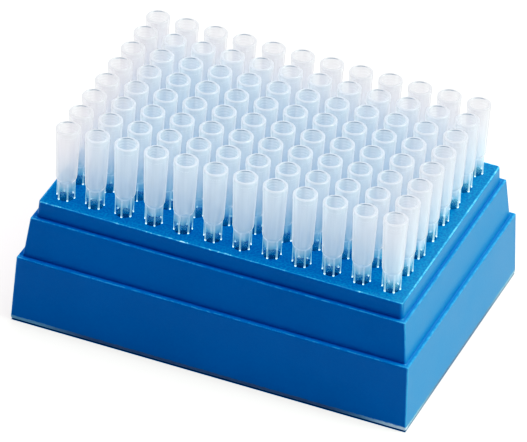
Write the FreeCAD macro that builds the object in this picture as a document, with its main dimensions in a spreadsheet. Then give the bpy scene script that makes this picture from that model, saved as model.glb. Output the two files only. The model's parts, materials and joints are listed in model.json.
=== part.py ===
import FreeCAD, Part
import math
import os
import re
import Sketcher

# A rack of pipette tips, in millimetres. The rack is one hollow blue moulding: a flat deck with a grid of
# round holes, on a skirt that widens downwards in three drafted tiers with a narrow ledge between each two.
# Every hole holds one loose tip. A tip stands on the deck on six thin ribs, and its long tapered end hangs
# inside the hollow rack. Tips are grouped in columns, as a multichannel pipette picks them up.
#
# Origin: centre of the footprint, on the surface the rack stands on. +X runs along a row of tips, from the
# first column to the last, +Y from the first row to the last, and +Z up, out of the tips' mouths.

SIZES = {
    # the grid of tips
    "tip_pitch": 9.0,
    "column_count": 12,
    "row_count": 8,
    # rack: heights of the three tiers of the skirt, and how far each leans outwards
    "upper_tier_height": 5.15,
    "middle_tier_height": 12.7,
    "lower_tier_height": 21.45,
    "upper_tier_draft": 3.0,
    "middle_tier_draft": 6.0,
    "lower_tier_draft": 2.5,
    # rack: the deck reaches this far beyond the outer tip axes, and each ledge this far beyond the wall above
    "deck_margin": 5.95,
    "upper_ledge_width": 1.3,
    "lower_ledge_width": 1.4,
    # rack: walls and rounded edges
    "deck_thickness": 2.0,
    "skirt_wall": 1.6,
    "deck_corner_radius": 1.2,
    "skirt_corner_radius": 0.45,
    "inner_corner_radius": 0.8,
    "deck_edge_round": 0.3,
    "ledge_edge_round": 0.25,
    "ledge_root_round": 0.25,
    "foot_edge_round": 1.1,
    # rack: stiffening ribs under the deck, between every second pair of hole rows
    "deck_rib_depth": 2.6,
    "deck_rib_thickness": 1.0,
    # holes in the deck
    "hole_clearance": 0.2,
    "hole_edge_chamfer": 0.15,
    # tip: heights along its axis; stand height is from the deck to the mouth
    "tip_length": 51.0,
    "tip_stand_height": 23.45,
    "rim_collar_height": 1.7,
    "shoulder_height": 6.9,
    "neck_top_height": 5.9,
    "taper_break_depth": 11.0,
    # tip: outer diameters
    "rim_diameter": 7.0,
    "barrel_top_diameter": 6.86,
    "barrel_foot_diameter": 5.95,
    "neck_top_diameter": 5.0,
    "neck_foot_diameter": 4.5,
    "taper_break_diameter": 3.4,
    "point_diameter": 0.95,
    # tip: inside
    "mouth_diameter": 5.5,
    "mouth_lead_in": 0.2,
    "seat_length": 6.2,
    "seat_step": 0.12,
    "barrel_wall": 0.5,
    "neck_wall": 0.4,
    "orifice_diameter": 0.45,
    "rim_edge_chamfer": 0.15,
    "shoulder_round": 1.0,
    # tip: ribs
    "tip_rib_count": 6,
    "tip_rib_thickness": 0.45,
    "tip_rib_bearing": 0.3,
    # turn of each loose tip about its own axis, in degrees: nothing keys the tips, so no two stand alike
    "turn_start": 55.0,
    "turn_per_column": 6.0,
    "turn_per_column_squared": 2.5,
    "turn_per_row": 1.5,
    "turn_per_row_squared": 15.5,
}

HORIZONTAL_AXIS = -1  # Sketcher's index of a sketch's own horizontal axis
VERTICAL_AXIS = -2    # and of its vertical axis
ORIGIN = (-1, 1)      # and of its origin point
START, END = 1, 2     # Sketcher's numbers for the ends of a line or an arc

# the most that a round may take of the ledge or wall that it is cut from
ROOT_SHARE = 0.6
EDGE_SHARE = 0.3
FOOT_SHARE = 0.8

document = FreeCAD.newDocument("pipette_tip_rack")


def make_sheet():
    """the spreadsheet that holds every driving size, one to a row, each with its name as alias"""
    sheet = document.addObject("Spreadsheet::Sheet", "sizes")
    for row, (name, number) in enumerate(SIZES.items(), start=1):
        sheet.set(f"A{row}", name)
        sheet.set(f"B{row}", str(number))
        sheet.setAlias(f"B{row}", name)
    document.recompute()
    return sheet


sizes = make_sheet()


def formula(text):
    """a formula written with bare size names, as an expression that reads the sheet"""
    return re.sub(r"[a-z_]{4,}", lambda word: f"sizes.{word[0]}" if word[0] in SIZES else word[0], text)


def number(text):
    """what a formula comes to with the sizes now in the sheet"""
    return float(sizes.evalExpression(formula(text)))


# ---------------------------------------------------------------------------------------- derived sizes
# Margins are distances beyond the outer tip axes, the same along X and along Y.
GRID_LENGTH = "(column_count - 1) * tip_pitch"
GRID_WIDTH = "(row_count - 1) * tip_pitch"
UPPER_SPREAD = "upper_tier_height * tan(upper_tier_draft * 1deg)"
MIDDLE_SPREAD = "middle_tier_height * tan(middle_tier_draft * 1deg)"
LOWER_SPREAD = "lower_tier_height * tan(lower_tier_draft * 1deg)"
UPPER_FOOT_MARGIN = f"(deck_margin + {UPPER_SPREAD})"
UPPER_LEDGE_MARGIN = f"({UPPER_FOOT_MARGIN} + upper_ledge_width)"
MIDDLE_FOOT_MARGIN = f"({UPPER_LEDGE_MARGIN} + {MIDDLE_SPREAD})"
LOWER_LEDGE_MARGIN = f"({MIDDLE_FOOT_MARGIN} + lower_ledge_width)"
BASE_MARGIN = f"({LOWER_LEDGE_MARGIN} + {LOWER_SPREAD})"
LOWER_LEDGE_HEIGHT = "lower_tier_height"
UPPER_LEDGE_HEIGHT = "(lower_tier_height + middle_tier_height)"
DECK_HEIGHT = "(lower_tier_height + middle_tier_height + upper_tier_height)"
HOLE_DIAMETER = "(neck_foot_diameter + 2 * hole_clearance)"
RIB_CIRCLE_DIAMETER = f"({HOLE_DIAMETER} + 2 * tip_rib_bearing)"
SEAT_HEIGHT = "(tip_length - tip_stand_height)"  # of the ribs' feet, above the tip's point


# ---------------------------------------------------------------------------------------- sketch helpers
def origin_feature(body, role):
    """one of a body's own origin planes or axes"""
    for feature in body.Origin.OriginFeatures:
        if feature.Role == role:
            return feature
    raise LookupError(role)


def new_sketch(body, name, plane="XY_Plane", height="0"):
    """a sketch on one of the body's origin planes, raised along the plane's normal"""
    sketch = body.newObject("Sketcher::SketchObject", name)
    sketch.AttachmentSupport = [(origin_feature(body, plane), "")]
    sketch.MapMode = "FlatFace"
    if height != "0":
        sketch.setExpression(".AttachmentOffset.Base.z", formula(height))
    return sketch


def constrain(sketch, name, kind, *arguments, size):
    """a named dimension that follows a formula"""
    sketch.addConstraint(Sketcher.Constraint(kind, *arguments, number(size)))
    sketch.renameConstraint(sketch.ConstraintCount - 1, name)
    sketch.setExpression(f"Constraints.{name}", formula(size))


def draw_polygon(sketch, corners):
    """a closed outline through corners, each a pair of formulas; "0" puts a corner on the sketch's axis"""
    places = [FreeCAD.Vector(number(x), number(y), 0) for x, y in corners]
    count = len(places)
    lines = [Part.LineSegment(places[i], places[(i + 1) % count]) for i in range(count)]
    sketch.addGeometry(lines, False)
    for i in range(count):
        sketch.addConstraint(Sketcher.Constraint("Coincident", i, END, (i + 1) % count, START))
    for i, (x, y) in enumerate(corners):
        if x == "0":
            sketch.addConstraint(Sketcher.Constraint("PointOnObject", i, START, VERTICAL_AXIS))
        else:
            constrain(sketch, f"x{i}", "DistanceX", *ORIGIN, i, START, size=x)
        if y == "0":
            sketch.addConstraint(Sketcher.Constraint("PointOnObject", i, START, HORIZONTAL_AXIS))
        else:
            constrain(sketch, f"y{i}", "DistanceY", *ORIGIN, i, START, size=y)


def draw_rectangle(sketch, length, width):
    """a rectangle centred on the sketch's origin"""
    half_length, half_width = number(length) / 2, number(width) / 2
    corners = [(-half_length, -half_width), (half_length, -half_width),
               (half_length, half_width), (-half_length, half_width)]
    places = [FreeCAD.Vector(x, y, 0) for x, y in corners]
    sketch.addGeometry([Part.LineSegment(places[i], places[(i + 1) % 4]) for i in range(4)], False)
    for i in range(4):
        sketch.addConstraint(Sketcher.Constraint("Coincident", i, END, (i + 1) % 4, START))
        sketch.addConstraint(Sketcher.Constraint("Vertical" if i % 2 else "Horizontal", i))
    sketch.addConstraint(Sketcher.Constraint("Symmetric", 0, START, 1, END, *ORIGIN))
    constrain(sketch, "length", "DistanceX", 0, START, 0, END, size=length)
    constrain(sketch, "width", "DistanceY", 1, START, 1, END, size=width)


def draw_rounded_rectangle(sketch, length, width, radius):
    """a rectangle with equal round corners, centred on the sketch's origin"""
    half_length, half_width, r = number(length) / 2, number(width) / 2, number(radius)
    ends = [((r - half_length, -half_width), (half_length - r, -half_width)),
            ((half_length, r - half_width), (half_length, half_width - r)),
            ((half_length - r, half_width), (r - half_length, half_width)),
            ((-half_length, half_width - r), (-half_length, r - half_width))]
    for start, end in ends:
        sketch.addGeometry(Part.LineSegment(FreeCAD.Vector(*start, 0), FreeCAD.Vector(*end, 0)), False)
    for i in range(4):
        side_x = 1 if i in (0, 1) else -1
        side_y = 1 if i in (1, 2) else -1
        centre = FreeCAD.Vector(side_x * (half_length - r), side_y * (half_width - r), 0)
        first = math.radians(90 * (i - 1))
        arc = Part.ArcOfCircle(Part.Circle(centre, FreeCAD.Vector(0, 0, 1), r), first, first + math.pi / 2)
        sketch.addGeometry(arc, False)
    for i in range(4):
        sketch.addConstraint(Sketcher.Constraint("Tangent", i, END, 4 + i, START))
        sketch.addConstraint(Sketcher.Constraint("Tangent", 4 + i, END, (i + 1) % 4, START))
    sketch.addConstraint(Sketcher.Constraint("Horizontal", 2))
    sketch.addConstraint(Sketcher.Constraint("Vertical", 3))
    for i in range(3):
        sketch.addConstraint(Sketcher.Constraint("Equal", 4 + i, 5 + i))
    sketch.addConstraint(Sketcher.Constraint("Symmetric", 0, START, 0, END, VERTICAL_AXIS))
    sketch.addConstraint(Sketcher.Constraint("Symmetric", 1, START, 1, END, HORIZONTAL_AXIS))
    constrain(sketch, "radius", "Radius", 4, size=radius)
    constrain(sketch, "length", "DistanceX", 3, START, 1, START, size=length)
    constrain(sketch, "width", "DistanceY", 0, START, 2, START, size=width)


# ---------------------------------------------------------------------------------------- feature helpers
def add_pad(body, name, sketch, height, draft=None, midplane=False):
    pad = body.newObject("PartDesign::Pad", name)
    pad.Profile = sketch
    pad.setExpression("Length", formula(height))
    pad.Midplane = midplane
    if draft:
        pad.setExpression("TaperAngle", f"-{formula(draft)}")
    return pad


def add_pocket_upwards(body, name, sketch, height, draft):
    """a pocket that goes up from its sketch and narrows as it rises"""
    pocket = body.newObject("PartDesign::Pocket", name)
    pocket.Profile = sketch
    pocket.Reversed = True
    pocket.setExpression("Length", formula(height))
    pocket.setExpression("TaperAngle", f"-{formula(draft)}")
    return pocket


def add_pattern(body, name, original, axis, count, spacing):
    """a row of equal copies of one feature"""
    pattern = body.newObject("PartDesign::LinearPattern", name)
    pattern.Originals = [original]
    pattern.Direction = (origin_feature(body, axis), [""])
    pattern.setExpression("Occurrences", formula(count))
    pattern.setExpression("Length", formula(f"(({count}) - 1) * {spacing}"))
    body.Tip = pattern
    return pattern


def beyond_grid(point):
    """how far a point lies beyond the outer tip axes, along whichever of X and Y is further"""
    return max(abs(point.x) - number(GRID_LENGTH) / 2, abs(point.y) - number(GRID_WIDTH) / 2)


def loop_edges(shape, height, margin):
    """names of the edges of the level loop at this height and this far beyond the outer tip axes"""
    names = []
    for index, edge in enumerate(shape.Edges, start=1):
        points = [vertex.Point for vertex in edge.Vertexes]
        level = all(abs(point.z - number(height)) < 1e-4 for point in points)
        if level and all(abs(beyond_grid(point) - number(margin)) < 1e-3 for point in points):
            names.append(f"Edge{index}")
    return names


def add_fillet(body, name, base, loops, radius):
    """rounds level loops of edges, each given by its height and margin"""
    document.recompute()
    fillet = body.newObject("PartDesign::Fillet", name)
    edges = [edge for height, margin in loops for edge in loop_edges(base.Shape, height, margin)]
    fillet.Base = (base, edges)
    fillet.setExpression("Radius", formula(radius))
    return fillet


# ---------------------------------------------------------------------------------------- the rack
def corner_edges(shape, foot_height, height):
    """names of the four slanting corner edges of a tier"""
    foot = number(foot_height)
    top = foot + number(height)
    names = []
    for index, edge in enumerate(shape.Edges, start=1):
        heights = sorted(vertex.Z for vertex in edge.Vertexes)
        if len(heights) == 2 and abs(heights[0] - foot) < 1e-4 and abs(heights[1] - top) < 1e-4:
            names.append(f"Edge{index}")
    return names


def add_tier(body, name, foot_height, height, draft, foot_margin, corner_radius):
    """one drafted tier of the skirt, solid, with its four upright corners rounded"""
    sketch = new_sketch(body, f"{name}_foot_outline", height=foot_height)
    draw_rectangle(sketch, f"{GRID_LENGTH} + 2 * {foot_margin}", f"{GRID_WIDTH} + 2 * {foot_margin}")
    pad = add_pad(body, name, sketch, height, draft)
    document.recompute()
    corners = body.newObject("PartDesign::Fillet", f"{name}_corners")
    corners.Base = (pad, corner_edges(pad.Shape, foot_height, height))
    corners.setExpression("Radius", formula(corner_radius))
    return corners


def add_cavity(body, name, foot_height, height, draft, foot_margin):
    """the hollow inside one tier, with inner_corner_radius at its top"""
    sketch = new_sketch(body, f"{name}_foot_outline", height=foot_height)
    margin = f"({foot_margin} - skirt_wall)"
    radius = f"inner_corner_radius + ({height}) * tan({draft} * 1deg)"
    draw_rounded_rectangle(sketch, f"{GRID_LENGTH} + 2 * {margin}", f"{GRID_WIDTH} + 2 * {margin}", radius)
    return add_pocket_upwards(body, name, sketch, height, draft)


def add_tip_holes(body):
    """one chamfered hole through the deck, repeated over the grid"""
    sketch = new_sketch(body, "hole_section", plane="XZ_Plane")
    sketch.setExpression(".AttachmentOffset.Base.x", formula(f"-{GRID_LENGTH} / 2"))
    sketch.setExpression(".AttachmentOffset.Base.y", formula(f"{DECK_HEIGHT} - deck_thickness"))
    sketch.setExpression(".AttachmentOffset.Base.z", formula(f"{GRID_WIDTH} / 2"))
    radius = f"{HOLE_DIAMETER} / 2"
    draw_polygon(sketch, [
        ("0", "0"),
        (radius, "0"),
        (radius, "deck_thickness - hole_edge_chamfer"),
        (f"{radius} + hole_edge_chamfer", "deck_thickness"),
        ("0", "deck_thickness"),
    ])
    hole = body.newObject("PartDesign::Groove", "first_hole")
    hole.Profile = sketch
    hole.ReferenceAxis = (sketch, ["V_Axis"])
    hole.Angle = 360
    document.recompute()
    grid = body.newObject("PartDesign::MultiTransform", "tip_holes")
    grid.Originals = [hole]
    steps = []
    directions = (("along_rows", "X_Axis", "column_count"), ("along_columns", "Y_Axis", "row_count"))
    for name, axis, count in directions:
        step = document.addObject("PartDesign::LinearPattern", name)
        step.Direction = (origin_feature(body, axis), [""])
        step.setExpression("Occurrences", formula(count))
        step.setExpression("Length", formula(f"({count} - 1) * tip_pitch"))
        steps.append(step)
    grid.Transformations = steps
    body.Tip = grid
    return grid


def add_deck_ribs(body, name, across, count, grid_size, axis):
    """ribs under the deck, midway between hole rows, starting between the second and the third"""
    sketch = new_sketch(body, f"{name}_outline", height=f"{DECK_HEIGHT} - deck_thickness - deck_rib_depth")
    long_side = f"{across} + 2 * deck_margin - skirt_wall"
    if axis == "X_Axis":
        draw_rectangle(sketch, "deck_rib_thickness", long_side)
        sketch.setExpression(".AttachmentOffset.Base.x", formula(f"1.5 * tip_pitch - {grid_size} / 2"))
    else:
        draw_rectangle(sketch, long_side, "deck_rib_thickness")
        sketch.setExpression(".AttachmentOffset.Base.y", formula(f"1.5 * tip_pitch - {grid_size} / 2"))
    rib = add_pad(body, f"first_{name}", sketch, "deck_rib_depth")
    return add_pattern(body, name, rib, axis, f"floor(({count} - 1) / 2)", "2 * tip_pitch")


def make_rack():
    body = document.addObject("PartDesign::Body", "rack")
    add_tier(body, "lower_tier", "0", "lower_tier_height", "lower_tier_draft", BASE_MARGIN,
             "skirt_corner_radius")
    add_tier(body, "middle_tier", LOWER_LEDGE_HEIGHT, "middle_tier_height", "middle_tier_draft",
             MIDDLE_FOOT_MARGIN, "skirt_corner_radius")
    solid = add_tier(body, "upper_tier", UPPER_LEDGE_HEIGHT, "upper_tier_height", "upper_tier_draft",
                     UPPER_FOOT_MARGIN, "deck_corner_radius")
    ledges = ((LOWER_LEDGE_HEIGHT, MIDDLE_FOOT_MARGIN, LOWER_LEDGE_MARGIN, "lower_ledge"),
              (UPPER_LEDGE_HEIGHT, UPPER_FOOT_MARGIN, UPPER_LEDGE_MARGIN, "upper_ledge"))
    for height, root_margin, edge_margin, name in ledges:
        root_round = f"min(ledge_root_round; {name}_width * {ROOT_SHARE})"
        edge_round = f"min(ledge_edge_round; {name}_width * {EDGE_SHARE})"
        solid = add_fillet(body, f"{name}_root", solid, [(height, root_margin)], root_round)
        solid = add_fillet(body, f"{name}_edge", solid, [(height, edge_margin)], edge_round)
    solid = add_fillet(body, "deck_edge", solid, [(DECK_HEIGHT, "deck_margin")], "deck_edge_round")
    foot_round = f"min(foot_edge_round; skirt_wall * {FOOT_SHARE})"
    add_fillet(body, "foot_edge", solid, [("0", BASE_MARGIN)], foot_round)

    lower_roof = "(lower_tier_height - skirt_wall)"
    middle_roof = f"({UPPER_LEDGE_HEIGHT} - skirt_wall)"
    deck_underside = f"({DECK_HEIGHT} - deck_thickness)"
    add_cavity(body, "lower_cavity", "0", lower_roof, "lower_tier_draft", BASE_MARGIN)
    add_cavity(body, "middle_cavity", lower_roof, f"{middle_roof} - {lower_roof}", "middle_tier_draft",
               MIDDLE_FOOT_MARGIN)
    add_cavity(body, "upper_cavity", middle_roof, f"{deck_underside} - {middle_roof}", "upper_tier_draft",
               UPPER_FOOT_MARGIN)
    add_deck_ribs(body, "cross_ribs", GRID_WIDTH, "column_count", GRID_LENGTH, "X_Axis")
    add_deck_ribs(body, "long_ribs", GRID_LENGTH, "row_count", GRID_WIDTH, "Y_Axis")
    add_tip_holes(body)
    document.recompute()
    return body


# ---------------------------------------------------------------------------------------- one tip
def make_tip():
    """one tip with its point's centre at the origin and its mouth up"""
    body = document.addObject("PartDesign::Body", "pipette_tip")
    mouth = "tip_length"
    collar_foot = "tip_length - rim_collar_height"
    shoulder = f"{SEAT_HEIGHT} + shoulder_height"
    neck_top = f"{SEAT_HEIGHT} + neck_top_height"
    taper_break = f"{SEAT_HEIGHT} - taper_break_depth"
    seat_foot = "tip_length - mouth_lead_in - seat_length"
    collar_step = "(rim_diameter - barrel_top_diameter) / 2"
    section = new_sketch(body, "tip_section", plane="XZ_Plane")
    draw_polygon(section, [
        ("orifice_diameter / 2", "0"),
        ("point_diameter / 2", "0"),
        ("taper_break_diameter / 2", taper_break),
        ("neck_foot_diameter / 2", SEAT_HEIGHT),
        ("neck_top_diameter / 2", neck_top),
        ("barrel_foot_diameter / 2", shoulder),
        ("barrel_top_diameter / 2", f"{collar_foot} - {collar_step}"),
        ("rim_diameter / 2", collar_foot),
        ("rim_diameter / 2", "tip_length - rim_edge_chamfer"),
        ("rim_diameter / 2 - rim_edge_chamfer", mouth),
        ("mouth_diameter / 2 + mouth_lead_in", mouth),
        ("mouth_diameter / 2", "tip_length - mouth_lead_in"),
        ("mouth_diameter / 2", seat_foot),
        ("mouth_diameter / 2 - seat_step", f"{seat_foot} - seat_step"),
        ("barrel_foot_diameter / 2 - barrel_wall", shoulder),
        ("neck_top_diameter / 2 - neck_wall", neck_top),
        ("neck_foot_diameter / 2 - neck_wall", SEAT_HEIGHT),
    ])
    turned = body.newObject("PartDesign::Revolution", "turned_form")
    turned.Profile = section
    turned.ReferenceAxis = (section, ["V_Axis"])
    turned.Angle = 360
    document.recompute()
    shoulder_edge = body.newObject("PartDesign::Fillet", "shoulder_edge")
    shoulder_edge.Base = (turned, circle_edges(turned.Shape, "barrel_foot_diameter / 2", shoulder))
    shoulder_edge.setExpression("Radius", formula("shoulder_round"))

    # a rib runs from the shoulder down to the deck, with its inner edge within the neck's wall
    rib_sketch = new_sketch(body, "rib_section", plane="XZ_Plane")
    in_wall = "neck_wall / 3"
    draw_polygon(rib_sketch, [
        (f"neck_foot_diameter / 2 - {in_wall}", SEAT_HEIGHT),
        (f"{RIB_CIRCLE_DIAMETER} / 2", SEAT_HEIGHT),
        (f"{RIB_CIRCLE_DIAMETER} / 2", shoulder),
        (f"neck_top_diameter / 2 - {in_wall}", f"{neck_top} + (shoulder_height - neck_top_height) / 2"),
    ])
    rib = add_pad(body, "first_rib", rib_sketch, "tip_rib_thickness", midplane=True)
    ribs = body.newObject("PartDesign::PolarPattern", "tip_ribs")
    ribs.Originals = [rib]
    ribs.Axis = (origin_feature(body, "Z_Axis"), [""])
    ribs.Angle = 360
    ribs.setExpression("Occurrences", formula("tip_rib_count"))
    body.Tip = ribs
    document.recompute()
    return body


def circle_edges(shape, radius, height):
    """names of the round edges with this radius at this height"""
    names = []
    for index, edge in enumerate(shape.Edges, start=1):
        curve = edge.Curve
        if isinstance(curve, Part.Circle) and abs(curve.Radius - number(radius)) < 1e-4:
            if abs(curve.Center.z - number(height)) < 1e-4:
                names.append(f"Edge{index}")
    return names


# ---------------------------------------------------------------------------------------- the columns of tips
def tip_turn(column, row):
    """the turn of one tip about its axis, in degrees, with columns and rows counted from 1"""
    along = number("turn_per_column") * column + number("turn_per_column_squared") * column ** 2
    across = number("turn_per_row") * (row - 1) + number("turn_per_row_squared") * (row - 1) ** 2
    return number("turn_start") + along + across


def make_tip_column(tip, column):
    """one column of tips as a group of separate solids, standing on the deck"""
    pitch = number("tip_pitch")
    first_x = -number(GRID_LENGTH) / 2
    first_y = -number(GRID_WIDTH) / 2
    point_height = number(f"{DECK_HEIGHT} - {SEAT_HEIGHT}")
    tips = []
    for row in range(1, int(number("row_count")) + 1):
        place = FreeCAD.Vector(0, first_y + (row - 1) * pitch, 0)
        turn = FreeCAD.Rotation(FreeCAD.Vector(0, 0, 1), tip_turn(column, row))
        copy = tip.Shape.copy()
        copy.Placement = FreeCAD.Placement(place, turn)
        tips.append(copy)
    group = document.addObject("Part::Feature", f"tips_column_{column:02d}")
    group.Shape = Part.makeCompound(tips)
    group.Placement.Base = FreeCAD.Vector(first_x + (column - 1) * pitch, 0, point_height)
    return group


# ---------------------------------------------------------------------------------------- build and export
def check_document():
    """stops if any object failed to compute"""
    for thing in document.Objects:
        if "Invalid" in thing.State or "Error" in thing.State:
            raise RuntimeError(f"{thing.Name} is {thing.State}")


def export(thing, solid_count):
    """writes one sub-part, named by its label"""
    shape = thing.Shape
    if shape.isNull() or not shape.isValid() or len(shape.Solids) != solid_count:
        raise RuntimeError(f"{thing.Label} has no valid shape")
    shape.exportStep(f"parts/{thing.Label}.step")
    print(f"{thing.Label}: {solid_count} solid(s), {shape.Volume:.1f} mm3")


rack = make_rack()
tip = make_tip()
columns = [make_tip_column(tip, column) for column in range(1, int(number("column_count")) + 1)]
document.recompute()
check_document()
os.makedirs("parts", exist_ok=True)
export(rack, 1)
for tip_column in columns:
    export(tip_column, int(number("row_count")))
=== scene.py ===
import json
import math

import bpy
from mathutils import Matrix, Vector


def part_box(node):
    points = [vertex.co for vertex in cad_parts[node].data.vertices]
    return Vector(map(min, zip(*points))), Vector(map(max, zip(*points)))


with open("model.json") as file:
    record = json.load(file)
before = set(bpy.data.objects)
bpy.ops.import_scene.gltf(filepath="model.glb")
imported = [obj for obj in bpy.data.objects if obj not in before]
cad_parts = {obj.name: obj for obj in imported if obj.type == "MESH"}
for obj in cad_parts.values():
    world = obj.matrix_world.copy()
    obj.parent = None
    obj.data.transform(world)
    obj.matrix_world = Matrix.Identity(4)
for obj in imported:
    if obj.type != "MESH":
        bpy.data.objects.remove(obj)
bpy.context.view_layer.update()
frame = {"nodes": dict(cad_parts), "record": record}

# Lengths are in metres and angles in degrees. The frame is the CAD model's own: +X along a row of tips,
# +Z up.
MM = 0.001
RACK_LOW, RACK_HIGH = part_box("rack")
DECK_HEIGHT = RACK_HIGH.z
TIP_COLUMNS = sorted(name for name in frame["nodes"] if name.startswith("tips_column_"))
FIRST_LOW, FIRST_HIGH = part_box(TIP_COLUMNS[0])
SECOND_LOW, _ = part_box(TIP_COLUMNS[1])
TIP_PITCH = SECOND_LOW.x - FIRST_LOW.x
RIM_RADIUS = (FIRST_HIGH.x - FIRST_LOW.x) / 2
FIRST_TIP = Vector((FIRST_LOW.x + RIM_RADIUS, FIRST_LOW.y + RIM_RADIUS, 0))
MOUTH_HEIGHT = FIRST_HIGH.z
MOUTH_RADIUS = next(m for m in frame["record"]["mounts"] if m["kind"] == "bore")["dims"]["r_mm"] * MM


# -------------------------------------------------------------------------------- shader arithmetic
class Shade:
    """a number that varies over a surface; calculating with it adds math nodes to its material"""

    def __init__(self, socket):
        self.socket = socket
        self.tree = socket.id_data

    def math(self, operation, *others):
        made = self.tree.nodes.new("ShaderNodeMath")
        made.operation = operation
        for place, value in enumerate((self, *others)):
            plug(self.tree, value, made.inputs[place])
        return Shade(made.outputs[0])

    def __add__(self, other):
        return self.math("ADD", other)

    def __sub__(self, other):
        return self.math("SUBTRACT", other)

    def __rsub__(self, other):
        return (self * -1) + other

    def __mul__(self, other):
        return self.math("MULTIPLY", other)

    def __abs__(self):
        return self.math("ABSOLUTE")

    def most(self, other):
        return self.math("MAXIMUM", other)

    def least(self, other):
        return self.math("MINIMUM", other)

    def root(self):
        return self.math("SQRT")

    def above(self, limit):
        return self.math("GREATER_THAN", limit)

    def rise(self, low, high, floor=0.0, ceiling=1.0):
        """goes smoothly from floor to ceiling as the number goes from low to high"""
        made = self.tree.nodes.new("ShaderNodeMapRange")
        made.interpolation_type = "SMOOTHSTEP"
        for place, value in enumerate((self, low, high, floor, ceiling)):
            plug(self.tree, value, made.inputs[place])
        return Shade(made.outputs[0])

    def fall(self, low, high):
        """goes smoothly from 1 to 0 as the number goes from low to high"""
        return self.rise(low, high, 1.0, 0.0)


def plug(tree, value, socket):
    """links a varying value to a socket, or sets a constant one on it"""
    if isinstance(value, Shade):
        tree.links.new(value.socket, socket)
    elif isinstance(value, bpy.types.NodeSocket):
        tree.links.new(value, socket)
    else:
        socket.default_value = (*value, 1.0) if socket.type == "RGBA" and len(value) == 3 else value


def node(tree, kind, sockets=None, **settings):
    """a node with settings and input values, each a constant or something that varies"""
    made = tree.nodes.new(kind)
    for name, value in settings.items():
        setattr(made, name, value)
    for name, value in (sockets or {}).items():
        plug(tree, value, made.inputs[name])
    return made


def new_material(name):
    """an empty node material and its tree"""
    material = bpy.data.materials.new(name)
    material.use_nodes = True
    material.node_tree.nodes.clear()
    return material, material.node_tree


def place_on_object(tree):
    """the point's place in the frame, as a vector socket"""
    return node(tree, "ShaderNodeTexCoord").outputs["Object"]


def vector_math(tree, operation, *vectors):
    """a vector socket worked out from others, each a socket or a constant vector"""
    made = node(tree, "ShaderNodeVectorMath", operation=operation)
    for vector, socket in zip(vectors, made.inputs):
        plug(tree, vector, socket)
    return made.outputs["Vector"]


def coordinates(tree, vector):
    """x, y and z of a vector socket"""
    parts = node(tree, "ShaderNodeSeparateXYZ", {"Vector": vector})
    return [Shade(parts.outputs[axis]) for axis in "XYZ"]


def noise(tree, vector, scale, detail, roughness=0.5):
    """soft noise between 0 and 1, with this many waves in a metre"""
    sockets = {"Vector": vector, "Scale": scale, "Detail": detail, "Roughness": roughness}
    return Shade(node(tree, "ShaderNodeTexNoise", sockets).outputs["Fac"])


# The mix node has sockets for each kind of data. These are the ones for colours, by their index.
MIX_FACTOR, MIX_FIRST, MIX_SECOND, MIX_RESULT = 0, 6, 7, 2


def blend(tree, factor, first, second):
    """a colour that goes from the first to the second as the factor goes from 0 to 1"""
    made = node(tree, "ShaderNodeMix", data_type="RGBA")
    plug(tree, factor, made.inputs[MIX_FACTOR])
    plug(tree, first, made.inputs[MIX_FIRST])
    plug(tree, second, made.inputs[MIX_SECOND])
    return made.outputs[MIX_RESULT]


def mix_shaders(tree, factor, first, second):
    """a shader that goes from the first to the second as the factor goes from 0 to 1"""
    made = node(tree, "ShaderNodeMixShader")
    for value, socket in zip((factor, first, second), made.inputs):
        plug(tree, value, socket)
    return made.outputs["Shader"]


def light_of(tree, colour):
    """a shader that gives off light of a colour"""
    return node(tree, "ShaderNodeEmission", {"Color": colour}).outputs["Emission"]


# -------------------------------------------------------------------------------- the rack's steps
LEVEL_NORMAL = 0.9999  # a face is level if its normal's upward part is over this
LEAST_LEVEL_AREA = (0.5 * MM) ** 2
HEIGHT_DIGITS = 5  # faces are on one level if their heights agree to a hundredth of a millimetre


def level_vertices():
    """the vertices of the rack's level faces that look up, by height: two ledges and the deck"""
    mesh = frame["nodes"]["rack"].data
    levels = {}
    for face in mesh.polygons:
        if face.normal.z > LEVEL_NORMAL and face.area > LEAST_LEVEL_AREA:
            corners = levels.setdefault(round(face.center.z, HEIGHT_DIGITS), [])
            corners.extend(mesh.vertices[index].co for index in face.vertices)
    return levels


LEVELS = level_vertices()
DECK_HALF_X = max(point.x for point in LEVELS[max(LEVELS)])
DECK_HALF_Y = max(point.y for point in LEVELS[max(LEVELS)])


def beyond_deck(point):
    """how far a point lies outside the deck's flat, seen from above"""
    return max(abs(point.x) - DECK_HALF_X, abs(point.y) - DECK_HALF_Y)


def inner_line(points):
    """how far outside the deck the straight inner sides of a ledge run, without its rounded corners"""
    outward = [beyond_deck(point) for point in points]
    middle = (min(outward) + max(outward)) / 2
    return max(distance for distance in outward if distance < middle)


# The outer edge of each level face, and the root of the wall that rises from each ledge. Both are given
# as (height, distance outside the deck), lowest first.
EDGES = [(height, max(map(beyond_deck, points))) for height, points in sorted(LEVELS.items())]
ROOTS = [(height, inner_line(points)) for height, points in sorted(LEVELS.items())[:-1]]
LEDGE_EDGES, DECK_EDGE = EDGES[:-1], EDGES[-1:]


def outer_face(z):
    """how far outside the deck the skirt's outer face stands at height z"""
    feet = [(0.0, RACK_HIGH.x - DECK_HALF_X), *ROOTS]
    wall = None
    for (foot_height, foot), (top_height, top) in zip(feet, EDGES):
        slope = (foot - top) / (top_height - foot_height)
        face = (top_height - z) * slope + top
        wall = wall + (face - wall) * z.above(foot_height) if wall else face
    return wall


def near_lines(beyond, z, lines, near, far):
    """1 on level lines round the rack, as EDGES and ROOTS give them, and 0 away from them"""
    nearest = None
    for height, outside in lines:
        across, upward = beyond - outside, z - height
        distance = (across * across + upward * upward).root()
        nearest = nearest.least(distance) if nearest else distance
    return nearest.fall(near, far)


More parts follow.
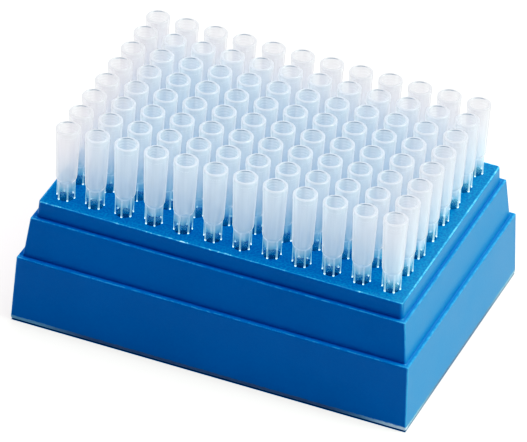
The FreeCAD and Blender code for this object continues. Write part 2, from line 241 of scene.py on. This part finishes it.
# -------------------------------------------------------------------------------- the rack's plastic
# Here and below, a band is what Shade.rise or Shade.fall takes: where the change starts and ends, and
# the values before and after it if they aren't 0 and 1. A share says how far one thing gives way to
# another.
RACK_BLUE = (0.014, 0.113, 0.298)
RACK_BLUE_DEEP = (0.012, 0.105, 0.281)
# the deck's colour, darker than the walls', under a painted glow
DECK_BLUE = (0.010, 0.031, 0.086)
SPECKLE_BLUE = (0.02, 0.34, 0.56)
# painted highlights along the edges, and painted glints on the deck's edge
EDGE_HIGHLIGHT_BLUE = (0.09, 0.33, 0.62)
GLINT_BLUE = (0.45, 0.72, 0.95)
# painted shade at the roots of the walls
ROOT_SHADE_NAVY = (0.02, 0.04, 0.17)
# a painted reflection of the table along the foot, and a painted contact shadow under it
FOOT_REFLECTION_DARK = (0.06, 0.09, 0.14)
FOOT_REFLECTION_PALE = (0.15, 0.28, 0.36)
FOOT_REFLECTION_LIGHT = (0.42, 0.50, 0.60)
FOOT_SHADOW_NAVY = (0.02, 0.015, 0.025)
# painted glow of the blue plastic: on the outer skin, on the deck and in the hollow
PAINTED_SKIN_GLOW = (0.0, 0.25, 1.0)
PAINTED_BLUE_GLOW = (0.0, 0.37, 1.0)
PAINTED_HOLLOW_GLOW = (0.02, 0.57, 1.0)

# waves in a metre, detail and roughness of each noise
CLOUD_NOISE = (45.0, 3.0)
GRAIN_NOISE = (1500.0, 2.0, 0.6)
# a noise that breaks up the painted highlights and the top of the painted reflection at the foot
BREAKUP_NOISE = (420.0, 3.0, 0.75)

# the plain walls and the deck
ON_DECK_DEPTH = 0.05 * MM  # what is nearer than this to the deck's height is its flat
CLOUD_COLOUR_BAND = (0.3, 0.7)
CLOUD_ROUGHNESS_BAND = (0.2, 0.8, 0.42, 0.50)
SPECKLE_BAND = (0.35, 0.65)
SPECKLE_SHARE, SPECKLE_SHARE_ADDED_ON_DECK = 0.02, 0.16
GRAIN_BUMP_STRENGTH, GRAIN_BUMP_DEPTH = 0.15, 0.1 * MM
SPECULAR_LEVEL = 0.28

# Painted highlights and glints on the edges, broken up by a noise. A reach says how far from its line an
# edge still shows fully, and where it has faded out.
DECK_FRONT_BAND = (1 * MM - DECK_HALF_Y, 3 * MM - DECK_HALF_Y)
DECK_EDGE_REACH = (0.1 * MM, 0.32 * MM)
DECK_HIGHLIGHT_BREAKUP = (0.42, 0.6, 0.25, 0.9)
DECK_EDGE_LOST_AT_FRONT = 0.45
GLINT_BREAKUP = (0.58, 0.68)
GLINT_SHARE, GLINT_SHARE_ADDED_AT_FRONT = 0.25, 0.6
LEDGE_EDGE_REACH = (0.12 * MM, 0.42 * MM)
LEDGE_HIGHLIGHT_BREAKUP = (0.38, 0.62, 0.05, 0.35)
# painted shade at the roots of the walls
ROOT_SHADE_REACH = (0.1 * MM, 0.5 * MM)
ROOT_SHADE_SHARE = 0.45
UPRIGHT_EDGE_BAND = (-0.45 * MM, -0.1 * MM)
UPRIGHT_HIGHLIGHT_BREAKUP = (0.3, 0.6, 0.2, 0.4)

# a painted reflection of the table in a band along the foot, pale near the corners and darker away from
# them, over a painted contact shadow, in heights above the table and distances from a corner
FOOT_REFLECTION_BAND = (1.1 * MM, 1.6 * MM, 0.9, 0.0)
FOOT_REFLECTION_WAVE = 0.8 * MM
CORNER_REACH = 25 * MM
PALE_CORNER_BAND = (4 * MM, 26 * MM)
BRIGHT_CORNER_BAND = (2 * MM, 15 * MM)
BRIGHT_CORNER_STEEPNESS = 6  # the lightest painted reflection ends this many times sooner along y than along x
FOOT_BAND = (0.5 * MM, 0.85 * MM)
FOOT_SHADOW_SHARE = 0.9

# a painted glow, which stands in for light that shines through the blue plastic and bounces off the
# tips: in the hollow, on the deck and outside
INSIDE_WALL_BAND = (0.5 * MM, 1.0 * MM)
BELOW_DECK_BAND = (0.2 * MM, 0.8 * MM)
HOLLOW_STRENGTH, DECK_STRENGTH, SKIN_STRENGTH = 0.115, 0.225, 0.035


def painted_edge_light_and_root_shade(tree, colour, x, y, z, beyond, wall, breakup):
    """the colour with painted highlights and glints on the edges and painted shade at the roots of the
    walls
    """
    at_front = y.fall(*DECK_FRONT_BAND)
    # painted highlights along the edges of the deck and the ledges, with painted glints on the deck's
    # edge
    deck_line = near_lines(beyond, z, DECK_EDGE, *DECK_EDGE_REACH)
    deck_edge = deck_line * breakup.rise(*DECK_HIGHLIGHT_BREAKUP) * (1 - at_front * DECK_EDGE_LOST_AT_FRONT)
    ledge_edge = near_lines(beyond, z, LEDGE_EDGES, *LEDGE_EDGE_REACH) * breakup.rise(*LEDGE_HIGHLIGHT_BREAKUP)
    colour = blend(tree, deck_edge.most(ledge_edge), colour, EDGE_HIGHLIGHT_BLUE)
    glint_share = at_front * GLINT_SHARE_ADDED_AT_FRONT + GLINT_SHARE
    colour = blend(tree, deck_line * breakup.rise(*GLINT_BREAKUP) * glint_share, colour, GLINT_BLUE)
    # painted shade at the roots of the walls
    colour = blend(tree, near_lines(beyond, z, ROOTS, *ROOT_SHADE_REACH) * ROOT_SHADE_SHARE, colour, ROOT_SHADE_NAVY)
    # painted highlights on the upright corners
    upright = (abs(x) - DECK_HALF_X - wall).least(abs(y) - DECK_HALF_Y - wall)
    upright = upright.rise(*UPRIGHT_EDGE_BAND) * breakup.rise(*UPRIGHT_HIGHLIGHT_BREAKUP)
    return blend(tree, upright, colour, EDGE_HIGHLIGHT_BLUE)


def painted_foot_reflection_and_shadow(tree, colour, x, y, z, breakup, foot):
    """the colour with a painted reflection of the table in a band near the table, palest at one corner,
    over a painted contact shadow at the foot
    """
    from_corner = (RACK_HIGH.x - abs(x)).least(CORNER_REACH) + (RACK_HIGH.y - abs(y)).least(CORNER_REACH)
    reflection_colour = blend(tree, from_corner.rise(*PALE_CORNER_BAND), FOOT_REFLECTION_PALE, FOOT_REFLECTION_DARK)
    from_bright_corner = (RACK_HIGH.x - x) + (y - RACK_LOW.y) * BRIGHT_CORNER_STEEPNESS
    reflection_colour = blend(tree, from_bright_corner.fall(*BRIGHT_CORNER_BAND), reflection_colour, FOOT_REFLECTION_LIGHT)
    # a painted reflection of the table in a band along the foot
    colour = blend(tree, (z - breakup * FOOT_REFLECTION_WAVE).rise(*FOOT_REFLECTION_BAND), colour, reflection_colour)
    # a painted contact shadow at the foot
    return blend(tree, foot * FOOT_SHADOW_SHARE, colour, FOOT_SHADOW_NAVY)


def rack_plastic():
    """smooth moulded blue polypropylene with a fine grain, painted highlights and glints on its edges,
    painted shade at the roots of its walls, a painted reflection of the table and a painted contact
    shadow at its foot, and a painted glow
    """
    material, tree = new_material("rack_blue_plastic")
    place = place_on_object(tree)
    x, y, z = coordinates(tree, place)
    cloud = noise(tree, place, *CLOUD_NOISE)
    grain = noise(tree, place, *GRAIN_NOISE)
    breakup = noise(tree, place, *BREAKUP_NOISE)
    on_deck = z.above(DECK_HEIGHT - ON_DECK_DEPTH)
    beyond = (abs(x) - DECK_HALF_X).most(abs(y) - DECK_HALF_Y)
    wall = outer_face(z)
    foot = z.fall(*FOOT_BAND)
    inside = (wall - beyond).rise(*INSIDE_WALL_BAND) * (DECK_HEIGHT - z).rise(*BELOW_DECK_BAND)

    colour = blend(tree, cloud.rise(*CLOUD_COLOUR_BAND), RACK_BLUE_DEEP, RACK_BLUE)
    colour = blend(tree, on_deck, colour, DECK_BLUE)
    speckle_share = on_deck * SPECKLE_SHARE_ADDED_ON_DECK + SPECKLE_SHARE
    colour = blend(tree, grain.rise(*SPECKLE_BAND) * speckle_share, colour, SPECKLE_BLUE)
    colour = painted_edge_light_and_root_shade(tree, colour, x, y, z, beyond, wall, breakup)
    colour = painted_foot_reflection_and_shadow(tree, colour, x, y, z, breakup, foot)

    # a painted glow in the hollow, on the deck and on the outer skin
    painted_glow = blend(tree, on_deck, PAINTED_SKIN_GLOW, PAINTED_BLUE_GLOW)
    painted_glow = blend(tree, inside, painted_glow, PAINTED_HOLLOW_GLOW)
    painted_glow_strength = inside * HOLLOW_STRENGTH + on_deck * DECK_STRENGTH + (1 - foot) * SKIN_STRENGTH
    bump = node(tree, "ShaderNodeBump", {
        "Height": grain,
        "Strength": GRAIN_BUMP_STRENGTH,
        "Distance": GRAIN_BUMP_DEPTH,
    })
    shader = node(tree, "ShaderNodeBsdfPrincipled", {
        "Base Color": colour,
        "Roughness": cloud.rise(*CLOUD_ROUGHNESS_BAND),
        "Normal": bump.outputs["Normal"],
        "Specular IOR Level": SPECULAR_LEVEL,
        "Emission Color": painted_glow,
        "Emission Strength": painted_glow_strength,
    })
    node(tree, "ShaderNodeOutputMaterial", {"Surface": shader.outputs["BSDF"]})
    return material


# -------------------------------------------------------------------------------- the tips' plastic
TIP_WHITE = (0.70, 0.78, 0.865)
# painted blue light from the deck, low on the tips
TIP_LOW_PAINTED_BLUE = (0.705, 0.825, 0.93)
# painted pale light from the white surroundings on the outer tips
TIP_BORDER_PAINTED_PALE = (0.86, 0.83, 0.875)
# painted glow: a faint veil over the barrels, and light on the outlines, rims and border mouths
VEIL_GLOW_BLUE = (0.57, 0.69, 0.83)
OUTLINE_GLOW_COOL = (0.69, 0.77, 0.86)
OUTLINE_GLOW_PALE = (0.745, 0.755, 0.785)
# painted blue light from the deck, on the necks
NECK_PAINTED_BLUE = (0.46, 0.73, 0.89)
# painted light along the ribs
RIB_PAINTED_LIGHT = (0.74, 0.90, 1.0)
# painted highlight on the rims
RIM_PAINTED_HIGHLIGHT = (0.80, 0.82, 0.90)
# painted dark reflection in the lead-in chamfer, strongest where it faces the eye
LEAD_IN_PAINTED_DARK = (0.20, 0.25, 0.32)
CLEAR_TINT = (0.985, 0.99, 1.0)
GLOSS_WHITE = (1.0, 1.0, 1.0)

STREAK_NOISE = (550.0, 2.0)
STREAK_STRETCH = (1.0, 1.0, 0.06)  # drawn out upwards
STREAK_HAZE_BAND = (0.3, 0.7, -0.035, 0.035)

# heights above the deck
SHOULDER_BAND = (5.5 * MM, 6.5 * MM)
NECK_HAZE_TOP = 0.42
NECK_HAZE_BAND = (0.2 * MM, 4.5 * MM, 0.08, NECK_HAZE_TOP)
NECK_RADIUS_BAND = (0.0, 5.9 * MM, 2.25 * MM, 2.5 * MM)
RIB_START_BAND = (-0.1 * MM, 0.0)
RIB_FOOT_BAND = (0.25 * MM, 0.6 * MM)
RIB_HAZE_BAND = (0.5 * MM, 3 * MM, 0.6, 0.42)
HEM_START_BAND = (5.3 * MM, 5.7 * MM)
HEM_END_BAND = (6.2 * MM, 6.7 * MM)
LOW_PAINTED_BLUE_BAND = (4 * MM, 20 * MM)
NECK_COLOUR_BAND = (2.5 * MM, 5.5 * MM)
# painted glow veil over the barrels
VEIL_GLOW_BAND = (8 * MM, 17 * MM, 0.0, 0.085)

# depths below the mouth
RIM_BAND = (0.15 * MM, 0.5 * MM)
LEAD_IN_BAND = (0.19 * MM, 0.23 * MM)
RING_BAND = (2.5 * MM, 4.5 * MM, 0.045, 0.0)
MOUTH_HAZE_BAND = (3 * MM, 6 * MM, 0.3, 0.0)
RING_PITCH = 0.95 * MM
RING_WAVE = 1.2 * MM

# distances from the tip's axis, and outside its neck
LEAD_IN_RADIUS_BAND = (MOUTH_RADIUS + 0.16 * MM, MOUTH_RADIUS + 0.2 * MM)
RING_RADIUS_BAND = (MOUTH_RADIUS, MOUTH_RADIUS + 0.2 * MM, 1.0, 0.3)
MOUTH_HAZE_RADIUS_BAND = (MOUTH_RADIUS + 0.05 * MM, MOUTH_RADIUS + 0.2 * MM)
RIB_OUT_BAND = (0.08 * MM, 0.3 * MM)

RING_STREAK_BAND = (0.4, 0.6)  # the rings show only where the streaks are strong

# how far the wall turns away from the eye: 0 face on, 1 at its outline
FACING_BLEND = 0.5
LEAD_IN_FACING_BAND = (0.03, 0.25)
HAZE_FACING_BAND = (0.5, 1.0)
OUTLINE_FACING_BAND = (0.55, 0.85)

# painted pale light on the outer tips: distance from the middle of the grid towards the left, the back
# and the right
LEFT_BORDER_BAND = (34 * MM, 50 * MM)
BACK_BORDER_BAND = (14 * MM, 33 * MM)
RIGHT_BORDER_BAND = (34 * MM, 50 * MM, 0.0, 0.5)

# how much each part of the wall hides of what is behind it
BARREL_HAZE = 0.39
RIM_HAZE = 0.45
HEM_HAZE = 0.48
LEAD_IN_HAZE = 0.95

# the milky plastic and its painted glow, the clear plastic's gloss, and the painted light on outlines
# and rims
BODY_ROUGHNESS = 0.25
BODY_SPECULAR_LEVEL = 0.5
BODY_PAINTED_GLOW, RIB_PAINTED_GLOW, HEM_PAINTED_HIGHLIGHT, FOOT_PAINTED_GLINT = 0.10, 0.3, 0.08, 2.2
TRANSLUCENT_SHARE = 0.6
GLOSS_ROUGHNESS = 0.12
GLOSS_SHARE, GLOSS_SHARE_ADDED_AT_GRAZING, GRAZING_POWER = 0.03, 0.35, 5.0
OUTLINE_SHARE, OUTLINE_SHARE_ADDED_AT_BORDER = 0.55, 0.4
# painted light on the rims
RIM_SHARE, RIM_SHARE_ADDED_AT_BORDER = 0.22, 0.4


def distance_from_tip_axis(tree, place):
    """how far a point lies from the axis of the nearest tip of the grid"""
    half = TIP_PITCH / 2
    offset = vector_math(tree, "SUBTRACT", place, FIRST_TIP)
    near = vector_math(tree, "WRAP", offset, (half, half, 1.0), (-half, -half, -1.0))
    x, y, _ = coordinates(tree, near)
    return (x * x + y * y).root()


class TipZones:
    """where a point lies on its tip; each zone is 1 on that part of the tip and 0 away from it"""

    def __init__(self, tree):
        place = place_on_object(tree)
        x, y, z = coordinates(tree, place)
        self.above_deck = z - DECK_HEIGHT
        self.below_mouth = MOUTH_HEIGHT - DECK_HEIGHT - self.above_deck
        self.radius = distance_from_tip_axis(tree, place)
        self.streaks = noise(tree, vector_math(tree, "MULTIPLY", place, STREAK_STRETCH), *STREAK_NOISE)
        layer = node(tree, "ShaderNodeLayerWeight", {"Blend": FACING_BLEND})
        self.facing = Shade(layer.outputs["Facing"])

        self.barrel = self.above_deck.rise(*SHOULDER_BAND)
        self.rib = self.on_rib()
        self.foot = self.rib * self.above_deck.fall(*RIB_FOOT_BAND)
        self.hem = self.above_deck.rise(*HEM_START_BAND) * self.above_deck.fall(*HEM_END_BAND)
        self.rim = self.below_mouth.fall(*RIM_BAND)
        self.lead_in = self.below_mouth.fall(*LEAD_IN_BAND) * self.facing.fall(*LEAD_IN_FACING_BAND)
        self.lead_in = self.lead_in * self.radius.fall(*LEAD_IN_RADIUS_BAND)
        left_or_back = (x * -1).rise(*LEFT_BORDER_BAND).most(y.rise(*BACK_BORDER_BAND))
        self.border = left_or_back.most(x.rise(*RIGHT_BORDER_BAND))

    def on_rib(self):
        """the six ribs, which stand out from the neck below the shoulder"""
        outside_neck = self.radius - self.above_deck.rise(*NECK_RADIUS_BAND)
        on_ribs = outside_neck.rise(*RIB_OUT_BAND) * (1 - self.barrel)
        return on_ribs * self.above_deck.rise(*RIB_START_BAND)


def tip_colour(tree, tip):
    """white walls with painted blue light low down and painted pale light at the border, a neck in
    painted blue light, ribs in painted light, a painted highlight on the rim and a painted dark
    reflection in the lead-in
    """
    # painted pale light on the outer tips
    colour = blend(tree, tip.border, TIP_WHITE, TIP_BORDER_PAINTED_PALE)
    # painted blue light from the deck, low down and on the neck
    colour = blend(tree, tip.above_deck.rise(*LOW_PAINTED_BLUE_BAND), TIP_LOW_PAINTED_BLUE, colour)
    colour = blend(tree, tip.above_deck.rise(*NECK_COLOUR_BAND), NECK_PAINTED_BLUE, colour)
    # painted highlight on the rim
    colour = blend(tree, tip.rim, colour, RIM_PAINTED_HIGHLIGHT)
    # painted light along the ribs
    colour = blend(tree, tip.rib, colour, RIB_PAINTED_LIGHT)
    # painted dark reflection in the lead-in chamfer
    return blend(tree, tip.lead_in, colour, LEAD_IN_PAINTED_DARK)


def tip_haze(tip):
    """how much the wall hides of what is behind it, from 0 to 1"""
    wavy_depth = tip.below_mouth + tip.streaks * RING_WAVE
    rings = (wavy_depth * (2 * math.pi / RING_PITCH)).math("SINE") * tip.below_mouth.rise(*RING_BAND)
    rings = rings * tip.radius.rise(*RING_RADIUS_BAND) * tip.streaks.rise(*RING_STREAK_BAND)
    neck = tip.above_deck.rise(*NECK_HAZE_BAND)
    haze = neck + tip.barrel * (BARREL_HAZE - NECK_HAZE_TOP)
    haze = haze + tip.streaks.rise(*STREAK_HAZE_BAND) + rings
    haze = haze + tip.facing.rise(*HAZE_FACING_BAND) * neck
    haze = haze.most(tip.rib * tip.above_deck.rise(*RIB_HAZE_BAND)).most(tip.foot)
    return haze.most(tip.rim * RIM_HAZE).most(tip.hem * HEM_HAZE).most(tip.lead_in * LEAD_IN_HAZE)


def milky_plastic(tree, tip, colour):
    """the shader of what the wall doesn't let through, with a painted glow, stronger on the ribs, a
    painted highlight at the hem and painted glints at the rib feet
    """
    # painted glow of the plastic, stronger on the ribs, a painted highlight at the hem and painted
    # glints at the rib feet
    painted_glow_strength = tip.rib * RIB_PAINTED_GLOW + tip.hem * HEM_PAINTED_HIGHLIGHT + BODY_PAINTED_GLOW
    body = node(tree, "ShaderNodeBsdfPrincipled", {
        "Base Color": colour,
        "Roughness": BODY_ROUGHNESS,
        "Specular IOR Level": BODY_SPECULAR_LEVEL,
        "Emission Color": colour,
        "Emission Strength": painted_glow_strength.most(tip.foot * FOOT_PAINTED_GLINT),
    })
    translucent = node(tree, "ShaderNodeBsdfTranslucent", {"Color": colour})
    return mix_shaders(tree, TRANSLUCENT_SHARE, body.outputs["BSDF"], translucent.outputs["BSDF"])


def clear_plastic(tree, tip):
    """the shader of what the wall lets through, with a gloss that grows towards its outline"""
    clear = node(tree, "ShaderNodeBsdfTransparent", {"Color": CLEAR_TINT})
    gloss = node(tree, "ShaderNodeBsdfGlossy", {"Color": GLOSS_WHITE, "Roughness": GLOSS_ROUGHNESS})
    share = tip.facing.math("POWER", GRAZING_POWER) * GLOSS_SHARE_ADDED_AT_GRAZING + GLOSS_SHARE
    return mix_shaders(tree, share, clear.outputs["BSDF"], gloss.outputs["BSDF"])


def with_painted_glow_veil_and_outlines(tree, tip, surface):
    """the shader under a faint painted glow, with painted light on its outlines, rims and the mouths of
    the border tips
    """
    # a faint painted glow over the barrels
    veil_glow_colour = blend(tree, tip.border, VEIL_GLOW_BLUE, OUTLINE_GLOW_PALE)
    veil_glow_share = tip.above_deck.rise(*VEIL_GLOW_BAND) * (1 - tip.lead_in)
    surface = mix_shaders(tree, veil_glow_share, surface, light_of(tree, veil_glow_colour))

    # painted light on the outlines, rims and border mouths
    in_mouth = tip.below_mouth.rise(*MOUTH_HAZE_BAND) * tip.border
    in_mouth = in_mouth * tip.radius.fall(*MOUTH_HAZE_RADIUS_BAND)
    at_outline = tip.facing.rise(*OUTLINE_FACING_BAND) * tip.barrel
    at_outline = at_outline * (tip.border * OUTLINE_SHARE_ADDED_AT_BORDER + OUTLINE_SHARE)
    # painted light on the rims
    rim_glow = tip.rim * (tip.border * RIM_SHARE_ADDED_AT_BORDER + RIM_SHARE)
    outline_share = at_outline.most(rim_glow).most(in_mouth) * (1 - tip.lead_in)
    outline_colour = blend(tree, tip.border, OUTLINE_GLOW_COOL, OUTLINE_GLOW_PALE)
    return mix_shaders(tree, outline_share, surface, light_of(tree, outline_colour))


def tip_plastic():
    """natural polypropylene: a frosted barrel, a clearer neck, ribs in painted light with painted glints
    at their feet, and a painted glow
    """
    material, tree = new_material("tip_clear_plastic")
    tip = TipZones(tree)
    milky = milky_plastic(tree, tip, tip_colour(tree, tip))
    surface = mix_shaders(tree, tip_haze(tip), clear_plastic(tree, tip), milky)
    surface = with_painted_glow_veil_and_outlines(tree, tip, surface)
    node(tree, "ShaderNodeOutputMaterial", {"Surface": surface})
    return material


def dress(name, material):
    """gives a CAD node its material"""
    thing = frame["nodes"][name]
    thing.data.materials.clear()
    thing.data.materials.append(material)


# -------------------------------------------------------------------------------- studio
# The floor, a white table lit from below, with painted shade and a painted blue glow where the rack
# covers it.
FLOOR_HALF = 3.0
TABLE_WHITE = (0.30, 0.30, 0.295)
TABLE_PAINTED_SHADE = (0.02, 0.02, 0.03)
TABLE_GLOW = (1.0, 0.97, 0.96)
TABLE_STRENGTH_ADDED, COVERED_PAINTED_GLOW_STRENGTH = 0.5, 0.12
TABLE_ROUGHNESS = 0.9
TABLE_SPECULAR_LEVEL = 0.1
FOOTPRINT_BAND = (-0.4 * MM, 0.0)

# Each light's name, azimuth (0 is the front, 90 the right side), elevation, spread, strength and colour.
SUNS = (
    ("overhead", 150.0, 75.0, 60.0, 4.3, (1.01, 0.98, 1.02)),
    ("right_key", 100.0, 38.0, 40.0, 3.8, (0.86, 1.10, 0.90)),
    ("left_fill", -85.0, 25.0, 50.0, 0.6, (1.0, 0.82, 0.80)),
)
WORLD_STRENGTH = 0.09
WORLD_COLOUR = (0.75, 0.85, 1.0)

# The camera of the photograph: a long lens that looks down on the front and the right side.
CAMERA_AZIMUTH = 21.081
CAMERA_ELEVATION = 35.171
CAMERA_ROLL = 3.110
CAMERA_DISTANCE = 1.86648
CAMERA_TARGET = (0.005234, -0.017818, DECK_HEIGHT)
FOCAL_WIDTHS = 6645.18 / 527  # focal length as a multiple of the picture's width
SENSOR_WIDTH = 36.0
NEAREST_SEEN, FARTHEST_SEEN = 0.01, 50.0

BLACK_LEVEL = 0.035
TONE_POINTS = ((0.07, 0.055), (0.35, 0.43))  # (light in, light out): deeper shadows, lifted middle tones
ALL_CHANNELS = 3  # the index of the tone curve that works on red, green and blue alike


def light_table():
    """the plain white top of a product photographer's table, lit from below, with painted shade and a
    painted blue glow under the rack
    """
    material, tree = new_material("light_table")
    x, y, _ = coordinates(tree, place_on_object(tree))
    outside_foot = (abs(x) - RACK_HIGH.x).most(abs(y) - RACK_HIGH.y).rise(*FOOTPRINT_BAND)
    # painted shade and a painted blue glow under the rack
    shader = node(tree, "ShaderNodeBsdfPrincipled", {
        "Base Color": blend(tree, outside_foot, TABLE_PAINTED_SHADE, TABLE_WHITE),
        "Roughness": TABLE_ROUGHNESS,
        "Specular IOR Level": TABLE_SPECULAR_LEVEL,
        "Emission Color": blend(tree, outside_foot, PAINTED_BLUE_GLOW, TABLE_GLOW),
        "Emission Strength": outside_foot * TABLE_STRENGTH_ADDED + COVERED_PAINTED_GLOW_STRENGTH,
    })
    node(tree, "ShaderNodeOutputMaterial", {"Surface": shader.outputs["BSDF"]})
    return material


def add_floor():
    """a pale floor, level with the rack's foot"""
    mesh = bpy.data.meshes.new("studio_floor")
    corners = [(x * FLOOR_HALF, y * FLOOR_HALF, 0) for x, y in ((-1, -1), (1, -1), (1, 1), (-1, 1))]
    mesh.from_pydata(corners, [], [(0, 1, 2, 3)])
    mesh.materials.append(light_table())
    floor = bpy.data.objects.new("studio_floor", mesh)
    bpy.context.scene.collection.objects.link(floor)


def direction(azimuth, elevation):
    """the unit vector from the object towards this azimuth and elevation, both in radians"""
    level = math.cos(elevation)
    return Vector((math.sin(azimuth) * level, -math.cos(azimuth) * level, math.sin(elevation)))


def add_sun(name, azimuth, elevation, spread, strength, colour):
    """soft even light from one side"""
    light = bpy.data.lights.new(name, "SUN")
    light.angle = math.radians(spread)
    light.energy = strength
    light.color = colour
    lamp = bpy.data.objects.new(name, light)
    bpy.context.scene.collection.objects.link(lamp)
    way = direction(math.radians(azimuth), math.radians(elevation))
    lamp.rotation_euler = way.to_track_quat("Z", "Y").to_euler()


def add_world():
    """even light from all round"""
    world = bpy.data.worlds.new("studio")
    world.use_nodes = True
    background = world.node_tree.nodes["Background"]
    background.inputs["Color"].default_value = (*WORLD_COLOUR, 1.0)
    background.inputs["Strength"].default_value = WORLD_STRENGTH
    bpy.context.scene.world = world


def add_camera():
    """the camera, turned about its own line of sight by the roll"""
    azimuth, elevation, roll = (math.radians(a) for a in (CAMERA_AZIMUTH, CAMERA_ELEVATION, CAMERA_ROLL))
    back = direction(azimuth, elevation)
    level = Vector((math.cos(azimuth), math.sin(azimuth), 0))
    rise = back.cross(level)
    right = math.cos(roll) * level + math.sin(roll) * rise
    up = math.cos(roll) * rise - math.sin(roll) * level
    data = bpy.data.cameras.new("camera")
    data.sensor_fit = "HORIZONTAL"
    data.sensor_width = SENSOR_WIDTH
    data.lens = FOCAL_WIDTHS * SENSOR_WIDTH
    data.clip_start = NEAREST_SEEN
    data.clip_end = FARTHEST_SEEN
    camera = bpy.data.objects.new("camera", data)
    bpy.context.scene.collection.objects.link(camera)
    turn = Matrix((right, up, back)).transposed().to_4x4()
    camera.matrix_world = Matrix.Translation(Vector(CAMERA_TARGET) + back * CAMERA_DISTANCE) @ turn
    bpy.context.scene.camera = camera


def set_tone():
    """plain display colours with the deep blacks and lifted middle of a studio product picture"""
    view = bpy.context.scene.view_settings
    view.view_transform = "Standard"
    view.use_curve_mapping = True
    tone = view.curve_mapping
    tone.black_level = (BLACK_LEVEL, BLACK_LEVEL, BLACK_LEVEL)
    for light_in, light_out in TONE_POINTS:
        tone.curves[ALL_CHANNELS].points.new(light_in, light_out)
    tone.update()


# -------------------------------------------------------------------------------- build
dress("rack", rack_plastic())
tip_material = tip_plastic()
for column_name in TIP_COLUMNS:
    dress(column_name, tip_material)

add_floor()
add_world()
for sun in SUNS:
    add_sun(*sun)
add_camera()
set_tone()
